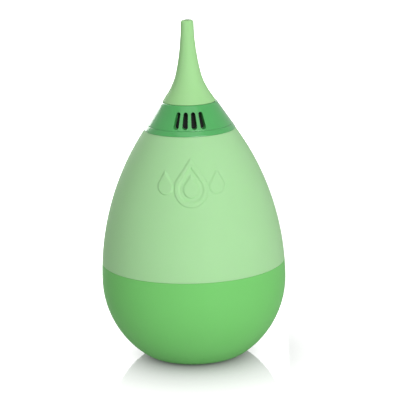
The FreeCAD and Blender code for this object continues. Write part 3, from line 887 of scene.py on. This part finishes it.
class OBJECT_OT_aspirator_valves(bpy.types.Operator):
    """Models the milky silicone seal, exhaust ring, intake sleeve and intake flap"""

    bl_idname = "object.aspirator_valves"
    bl_label = "Silicone valves"

    def execute(self, context):
        s = sizes()
        milky = silicone("valve silicone", colours().valve, 0.4)
        inner = s.mouth_radius - s.spigot_wall
        seal = flat_ring(
            "seal_ring", inner, reach("plate_seal"), low("plate_seal"), high("plate_seal"), 0.2 * MM)
        ring = flat_ring(
            "exhaust_ring", s.tube_radius + s.ring_gap, reach("exhaust_valve"),
            low("exhaust_valve"), high("exhaust_valve"), 0.25 * MM)
        pieces = [
            (seal, "plate_seal", "valve_head"),
            (ring, "exhaust_valve", "exhaust_disc"),
            (self.make_sleeve(), "intake_valve", "valve_head"),
            (self.make_flap(), "intake_flap", "flap"),
        ]
        for piece, node, body in pieces:
            finish_piece(piece, milky)
            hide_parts(node)
            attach(piece, body)
        return {"FINISHED"}

    def make_sleeve(self):
        s = sizes()
        bottom = low("intake_valve")
        top = high("intake_valve")
        seat_top = low("valve_body")
        grip = s.tube_radius + s.gap
        corners = [
            (s.seat_hole, bottom, 0.15 * MM),
            (reach("intake_valve"), bottom, 0.35 * MM),
            (reach("intake_valve"), top, 0.3 * MM),
            (grip, top, 0.2 * MM),
            (grip, seat_top),
            (s.seat_hole, seat_top, 0.15 * MM),
        ]
        sleeve = turned("intake_sleeve", soften(corners, 0.1 * MM), segments=128)
        smooth(sleeve, 40)
        return sleeve

    def make_flap(self):
        """A round flap with the tab that joins it to its hinge line at the back."""
        s = sizes()
        bottom = low("intake_flap")
        top = high("intake_flap")
        radius = reach("intake_flap")
        half = s.flap_tab / 2
        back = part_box("intake_flap")[1].y
        begin()
        bpy.ops.mesh.primitive_circle_add(
            vertices=96, radius=radius, fill_type="NGON", location=(0, 0, bottom))
        flap = bpy.context.object
        flap.name = "intake_flap_skin"
        flap.data.name = "intake_flap_skin"
        bpy.ops.object.transform_apply(location=True, rotation=True, scale=True)
        # the rim's points within the tab's width are drawn back to the hinge line
        for vertex in flap.data.vertices:
            if vertex.co.y > 0 and abs(vertex.co.x) <= half * 1.05:
                vertex.co.x = max(min(vertex.co.x * 1.3, half), -half)
                vertex.co.y = back
        bpy.ops.object.mode_set(mode="EDIT")
        bpy.ops.mesh.select_all(action="SELECT")
        bpy.ops.mesh.extrude_region_move(TRANSFORM_OT_translate={"value": (0, 0, top - bottom)})
        bpy.ops.mesh.select_all(action="SELECT")
        bpy.ops.mesh.remove_doubles(threshold=0.002 * MM)
        bpy.ops.mesh.select_all(action="SELECT")
        bpy.ops.mesh.normals_make_consistent(inside=False)
        bpy.ops.object.mode_set(mode="OBJECT")
        edge = flap.modifiers.new("edge", "BEVEL")
        edge.width = 0.15 * MM
        edge.segments = 3
        edge.limit_method = "ANGLE"
        edge.angle_limit = math.radians(50)
        apply_modifier(flap, edge)
        smooth(flap, 40)
        return flap


class OBJECT_OT_aspirator_trap(bpy.types.Operator):
    """Models the clear trap cup with its air windows"""

    bl_idname = "object.aspirator_trap"
    bl_label = "Trap cup"

    def execute(self, context):
        s = sizes()
        inside = s.skirt_radius + s.gap
        outside = inside + s.cup_wall
        bottom = low("trap_cup")
        top = high("trap_cup")
        inner_round = s.cup_round - s.cup_wall
        corner = outside - s.cup_round
        outline = [(0.0, bottom)]
        outline += arc((corner, bottom + s.cup_round), s.cup_round, -math.pi / 2, 0.0, 14)
        outline += straight((outside, bottom + s.cup_round), (outside, top), 12)[1:]
        outline += soften([
            (outside, top - MM, 0),
            (outside, top, 0.3 * MM),
            (inside, top, 0.3 * MM),
            (inside, top - MM, 0),
        ], 0, closed=False)[1:]
        outline += straight((inside, top - MM), (inside, bottom + s.cup_round), 12)[1:]
        outline += arc((corner, bottom + s.cup_round), inner_round, 0.0, -math.pi / 2, 14)
        outline.append((0.0, bottom + s.cup_wall))
        cup = turned("trap_cup_shell", outline, closed=False, segments=128)
        window = self.window_cutter(bottom + s.window_lift)
        cut(cup, repeat_round(window, even_turns(s.window_count)))
        smooth(cup, 40)
        finish_piece(cup, clear_plastic("clear plastic", colours().clear))
        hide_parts("trap_cup")
        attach(cup, "trap")
        return {"FINISHED"}

    def window_cutter(self, bottom):
        """A round-cornered block through the front of the cup's wall."""
        s = sizes()
        begin()
        bpy.ops.mesh.primitive_cube_add(
            size=1, location=(0, -s.skirt_radius, bottom + s.window_height / 2),
            scale=(s.window_width, s.skirt_radius, s.window_height))
        cutter = bpy.context.object
        bpy.ops.object.transform_apply(location=True, rotation=True, scale=True)
        bpy.ops.object.mode_set(mode="EDIT")
        bpy.ops.mesh.select_mode(type="EDGE")
        bpy.ops.mesh.select_all(action="DESELECT")
        bpy.ops.object.mode_set(mode="OBJECT")
        for edge in cutter.data.edges:
            first, last = (cutter.data.vertices[index].co for index in edge.vertices)
            edge.select = abs(first.y - last.y) > MM
        bpy.ops.object.mode_set(mode="EDIT")
        bpy.ops.mesh.bevel(offset=s.window_round, segments=5)
        bpy.ops.object.mode_set(mode="OBJECT")
        return cutter


# ---------------------------------------------------------------- shader groups


def new_group(name, inputs, outputs):
    """A shader node group with named sockets. Sockets are (name, kind, default)."""
    group = bpy.data.node_groups.new(name, "ShaderNodeTree")
    for socket, kind, default in inputs:
        made = group.interface.new_socket(socket, in_out="INPUT", socket_type=kind)
        made.default_value = default
    for socket, kind in outputs:
        group.interface.new_socket(socket, in_out="OUTPUT", socket_type=kind)
    return group


def add(tree, kind, place, **settings):
    """Adds a node at a place in the tree and sets its properties."""
    node = tree.nodes.new(kind)
    node.location = place
    for key, value in settings.items():
        setattr(node, key, value)
    return node


def fine_grain_group():
    """Fine moulded texture: a bump height and a matching value for roughness."""
    name = "fine grain"
    if name in bpy.data.node_groups:
        return bpy.data.node_groups[name]
    group = new_group(
        name,
        [("Scale", "NodeSocketFloat", 2200.0), ("Roughness", "NodeSocketFloat", 0.5),
         ("Variation", "NodeSocketFloat", 0.06)],
        [("Height", "NodeSocketFloat"), ("Roughness", "NodeSocketFloat")])
    given = add(group, "NodeGroupInput", (-900, 0))
    place = add(group, "ShaderNodeTexCoord", (-900, -260))
    fine = add(group, "ShaderNodeTexNoise", (-650, 120))
    fine.inputs["Detail"].default_value = 3.0
    broad = add(group, "ShaderNodeTexNoise", (-650, -180))
    broad.inputs["Scale"].default_value = 90.0
    broad.inputs["Detail"].default_value = 4.0
    centred = add(group, "ShaderNodeMath", (-430, -180), operation="SUBTRACT")
    centred.inputs[1].default_value = 0.5
    spread = add(group, "ShaderNodeMath", (-240, -120), operation="MULTIPLY_ADD")
    result = add(group, "NodeGroupOutput", (0, 0))
    link = group.links.new
    link(place.outputs["Object"], fine.inputs["Vector"])
    link(place.outputs["Object"], broad.inputs["Vector"])
    link(given.outputs["Scale"], fine.inputs["Scale"])
    link(broad.outputs["Fac"], centred.inputs[0])
    link(centred.outputs[0], spread.inputs[0])
    link(given.outputs["Variation"], spread.inputs[1])
    link(given.outputs["Roughness"], spread.inputs[2])
    link(fine.outputs["Fac"], result.inputs["Height"])
    link(spread.outputs[0], result.inputs["Roughness"])
    return group


def colour_drift_group():
    """Slow change of tone over a moulded piece, with a slight mottle."""
    name = "colour drift"
    if name in bpy.data.node_groups:
        return bpy.data.node_groups[name]
    group = new_group(
        name,
        [("Colour", "NodeSocketColor", (0.5, 0.5, 0.5, 1.0)), ("Scale", "NodeSocketFloat", 40.0),
         ("Amount", "NodeSocketFloat", 0.06)],
        [("Colour", "NodeSocketColor")])
    given = add(group, "NodeGroupInput", (-900, 0))
    place = add(group, "ShaderNodeTexCoord", (-900, -260))
    noise = add(group, "ShaderNodeTexNoise", (-650, -120))
    noise.inputs["Detail"].default_value = 5.0
    noise.inputs["Roughness"].default_value = 0.6
    centred = add(group, "ShaderNodeMath", (-430, -120), operation="SUBTRACT")
    centred.inputs[1].default_value = 0.5
    tone = add(group, "ShaderNodeMath", (-240, -120), operation="MULTIPLY_ADD")
    tone.inputs[2].default_value = 1.0
    shade = add(group, "ShaderNodeHueSaturation", (-40, 0))
    result = add(group, "NodeGroupOutput", (180, 0))
    link = group.links.new
    link(place.outputs["Object"], noise.inputs["Vector"])
    link(given.outputs["Scale"], noise.inputs["Scale"])
    link(noise.outputs["Fac"], centred.inputs[0])
    link(centred.outputs[0], tone.inputs[0])
    link(given.outputs["Amount"], tone.inputs[1])
    link(tone.outputs[0], shade.inputs["Value"])
    link(given.outputs["Colour"], shade.inputs["Color"])
    link(shade.outputs["Color"], result.inputs["Colour"])
    return group


def place_group(tree, group, place, **values):
    """Puts a group in a material and sets its inputs by name."""
    node = add(tree, "ShaderNodeGroup", place, node_tree=group)
    for key, value in values.items():
        node.inputs[key.replace("_", " ")].default_value = value
    return node


# ---------------------------------------------------------------- materials


def new_material(name):
    """An empty material, or the one of that name, with its tree and shader."""
    if name in bpy.data.materials:
        return bpy.data.materials[name], None, None
    material = bpy.data.materials.new(name)
    material.use_nodes = True
    tree = material.node_tree
    shader = tree.nodes["Principled BSDF"]
    shader.location = (300, 0)
    tree.nodes["Material Output"].location = (620, 0)
    return material, tree, shader


def dress(tree, shader, tint, roughness, grain=2200.0, variation=0.06, drift=0.05, depth=0.012 * MM):
    """Feeds a shader with drifting colour, grained roughness and a fine bump, and returns the bump."""
    colouring = place_group(tree, colour_drift_group(), (-260, 240), Scale=45.0, Amount=drift)
    colouring.inputs["Colour"].default_value = (*tint, 1.0)
    grained = place_group(
        tree, fine_grain_group(), (-500, -60), Scale=grain, Roughness=roughness, Variation=variation)
    bump = add(tree, "ShaderNodeBump", (0, -160))
    bump.inputs["Strength"].default_value = 1.0
    bump.inputs["Distance"].default_value = depth
    link = tree.links.new
    link(colouring.outputs["Colour"], shader.inputs["Base Color"])
    link(grained.outputs["Roughness"], shader.inputs["Roughness"])
    link(grained.outputs["Height"], bump.inputs["Height"])
    link(bump.outputs["Normal"], shader.inputs["Normal"])
    return bump


def silicone(name, tint, roughness):
    """Soft silicone: light sinks in a little under a matte skin."""
    material, tree, shader = new_material(name)
    if tree is None:
        return material
    dress(tree, shader, tint, roughness)
    shader.inputs["Subsurface Weight"].default_value = 0.3
    shader.inputs["Subsurface Radius"].default_value = (0.7, 1.0, 0.6)
    shader.inputs["Subsurface Scale"].default_value = 1.6 * MM
    shader.inputs["IOR"].default_value = 1.41
    shader.inputs["Specular IOR Level"].default_value = 0.12
    return material


def tinted_plastic(name, tint):
    """Glossy moulded plastic that lets some light through."""
    material, tree, shader = new_material(name)
    if tree is None:
        return material
    dress(tree, shader, tint, 0.30, grain=700.0, variation=0.10, drift=0.16, depth=0.004 * MM)
    shader.inputs["Transmission Weight"].default_value = 0.12
    shader.inputs["Subsurface Weight"].default_value = 0.3
    shader.inputs["Subsurface Radius"].default_value = (0.5, 1.0, 0.6)
    shader.inputs["Subsurface Scale"].default_value = 3.0 * MM
    shader.inputs["IOR"].default_value = 1.49
    shader.inputs["Specular IOR Level"].default_value = 0.3
    shader.inputs["Coat Weight"].default_value = 0.7
    shader.inputs["Coat Roughness"].default_value = 0.12
    return material


def dark_plastic(name, tint):
    """Black moulded plastic with a fine satin grain."""
    material, tree, shader = new_material(name)
    if tree is None:
        return material
    dress(tree, shader, tint, 0.38, grain=3000.0, variation=0.12, drift=0.2, depth=0.02 * MM)
    shader.inputs["IOR"].default_value = 1.5
    return material


def clear_plastic(name, tint):
    """Clear plastic with faint haze."""
    material, tree, shader = new_material(name)
    if tree is None:
        return material
    dress(tree, shader, tint, 0.09, grain=600.0, variation=0.08, drift=0.02, depth=0.002 * MM)
    shader.inputs["Transmission Weight"].default_value = 0.92
    shader.inputs["IOR"].default_value = 1.49
    return material


def foam(name, tint):
    """Open-cell foam: dark pores between thin struts."""
    material, tree, shader = new_material(name)
    if tree is None:
        return material
    bump = dress(tree, shader, tint, 0.9, variation=0.1, drift=0.5, depth=0.25 * MM)
    place = add(tree, "ShaderNodeTexCoord", (-760, -420))
    pores = add(tree, "ShaderNodeTexVoronoi", (-500, -420))
    pores.inputs["Scale"].default_value = 1700.0
    tree.links.new(place.outputs["Object"], pores.inputs["Vector"])
    tree.links.new(pores.outputs["Distance"], bump.inputs["Height"])
    return material


# ---------------------------------------------------------------- stage


class OBJECT_OT_aspirator_stage(bpy.types.Operator):
    """Sets the floor, the soft lights, the white surround and the camera"""

    bl_idname = "object.aspirator_stage"
    bl_label = "Stage"

    def execute(self, context):
        stage = context.scene.aspirator_stage
        self.lay_floor(stage)
        self.hang_lights(stage)
        self.surround(stage)
        self.place_camera(stage)
        context.scene.view_settings.view_transform = "Standard"
        context.scene.view_settings.look = "None"
        return {"FINISHED"}

    def lay_floor(self, stage):
        begin()
        bpy.ops.mesh.primitive_plane_add(size=14.0, location=(0, 0, 0))
        floor = bpy.context.object
        floor.name = "studio_floor"
        material, tree, shader = new_material("studio floor")
        shader.inputs["Base Color"].default_value = (*colours().floor, 1.0)
        shader.inputs["Roughness"].default_value = 0.03
        shader.inputs["IOR"].default_value = 1.26
        shader.inputs["Emission Color"].default_value = (1.0, 1.0, 1.0, 1.0)
        # the table shines brighter as it is seen than as a light, and its glow is dimmed by occlusion
        # close to the foot: a painted contact shadow
        path = add(tree, "ShaderNodeLightPath", (-740, -300))
        seen = add(tree, "ShaderNodeMapRange", (-500, -300))
        seen.inputs["To Min"].default_value = stage.table_bounce
        seen.inputs["To Max"].default_value = stage.table_glow
        # occlusion darkens the glow round the foot: painted contact shadow
        shade = add(tree, "ShaderNodeAmbientOcclusion", (-740, -520), samples=16)
        shade.inputs["Distance"].default_value = stage.shade_reach
        glow = add(tree, "ShaderNodeMath", (-260, -300), operation="MULTIPLY")
        tree.links.new(path.outputs["Is Camera Ray"], seen.inputs["Value"])
        tree.links.new(seen.outputs["Result"], glow.inputs[0])
        tree.links.new(shade.outputs["AO"], glow.inputs[1])
        tree.links.new(glow.outputs[0], shader.inputs["Emission Strength"])
        floor.data.materials.append(material)

    def add_light(self, name, aim, spread, strength):
        """A soft far light that shines along a direction."""
        bpy.ops.object.light_add(type="SUN", location=-Vector(aim))
        light = bpy.context.object
        light.name = name
        light.data.energy = strength
        light.data.angle = math.radians(spread)
        light.rotation_euler = Vector(aim).to_track_quat("-Z", "Y").to_euler()

    def hang_lights(self, stage):
        self.add_light("key_light", (-0.36, 0.87, -0.34), 40, stage.key_strength)
        self.add_light("top_light", (0.0, 0.5, -0.83), 50, stage.top_strength)
        self.add_light("back_light", (0.30, -0.90, -0.30), 40, stage.back_strength)

    def surround(self, stage):
        world = bpy.data.worlds.new("surround")
        world.use_nodes = True
        bpy.context.scene.world = world
        tree = world.node_tree
        background = tree.nodes["Background"]
        background.inputs["Color"].default_value = (1, 1, 1, 1)
        # full white where it is seen, dimmer where it is mirrored, and dimmest as a light
        path = add(tree, "ShaderNodeLightPath", (-740, 0))
        seen = add(tree, "ShaderNodeMath", (-500, 0), operation="MULTIPLY_ADD")
        seen.inputs[1].default_value = stage.mirror_share
        strength = add(tree, "ShaderNodeMapRange", (-260, 0))
        strength.inputs["To Min"].default_value = stage.sky_strength
        strength.inputs["To Max"].default_value = 1.0
        tree.links.new(path.outputs["Is Glossy Ray"], seen.inputs[0])
        tree.links.new(path.outputs["Is Camera Ray"], seen.inputs[2])
        tree.links.new(seen.outputs[0], strength.inputs["Value"])
        tree.links.new(strength.outputs["Result"], background.inputs["Strength"])

    def place_camera(self, stage):
        begin()
        bpy.ops.object.camera_add(
            location=(stage.camera_side, -stage.camera_distance, stage.camera_height))
        camera = bpy.context.object
        camera.name = "camera"
        camera.data.lens = stage.camera_lens
        camera.data.sensor_width = 36.0
        camera.data.clip_end = 50.0
        level = Euler((math.pi / 2 - stage.camera_pitch, 0, 0)).to_quaternion()
        sight = level @ Vector((0, 0, -1))
        camera.rotation_euler = (Quaternion(sight, stage.camera_roll) @ level).to_euler()
        bpy.context.scene.camera = camera


# ---------------------------------------------------------------- panel and run

PIECE_OPERATORS = (
    OBJECT_OT_aspirator_bulb,
    OBJECT_OT_aspirator_base,
    OBJECT_OT_aspirator_nozzle,
    OBJECT_OT_aspirator_vent_collar,
    OBJECT_OT_aspirator_collar_base,
    OBJECT_OT_aspirator_filter,
    OBJECT_OT_aspirator_valve_plate,
    OBJECT_OT_aspirator_valves,
    OBJECT_OT_aspirator_trap,
    OBJECT_OT_aspirator_stage,
)


class VIEW3D_PT_aspirator(bpy.types.Panel):
    """Lists the operators that make the aspirator"""

    bl_label = "Nasal aspirator"
    bl_space_type = "VIEW_3D"
    bl_region_type = "UI"
    bl_category = "Aspirator"

    def draw(self, context):
        for operator in PIECE_OPERATORS:
            self.layout.operator(operator.bl_idname)


CLASSES = (AspiratorSizes, AspiratorColours, StageSettings, *PIECE_OPERATORS, VIEW3D_PT_aspirator)


def register():
    for cls in CLASSES:
        bpy.utils.register_class(cls)
    scene = bpy.types.Scene
    scene.aspirator_sizes = bpy.props.PointerProperty(type=AspiratorSizes)
    scene.aspirator_colours = bpy.props.PointerProperty(type=AspiratorColours)
    scene.aspirator_stage = bpy.props.PointerProperty(type=StageSettings)


def unregister():
    scene = bpy.types.Scene
    del scene.aspirator_stage
    del scene.aspirator_colours
    del scene.aspirator_sizes
    for cls in reversed(CLASSES):
        bpy.utils.unregister_class(cls)


def main():
    register()
    for operator in PIECE_OPERATORS:
        family, name = operator.bl_idname.split(".")
        getattr(getattr(bpy.ops, family), name)()
    begin()


if __name__ == "__main__":
    main()
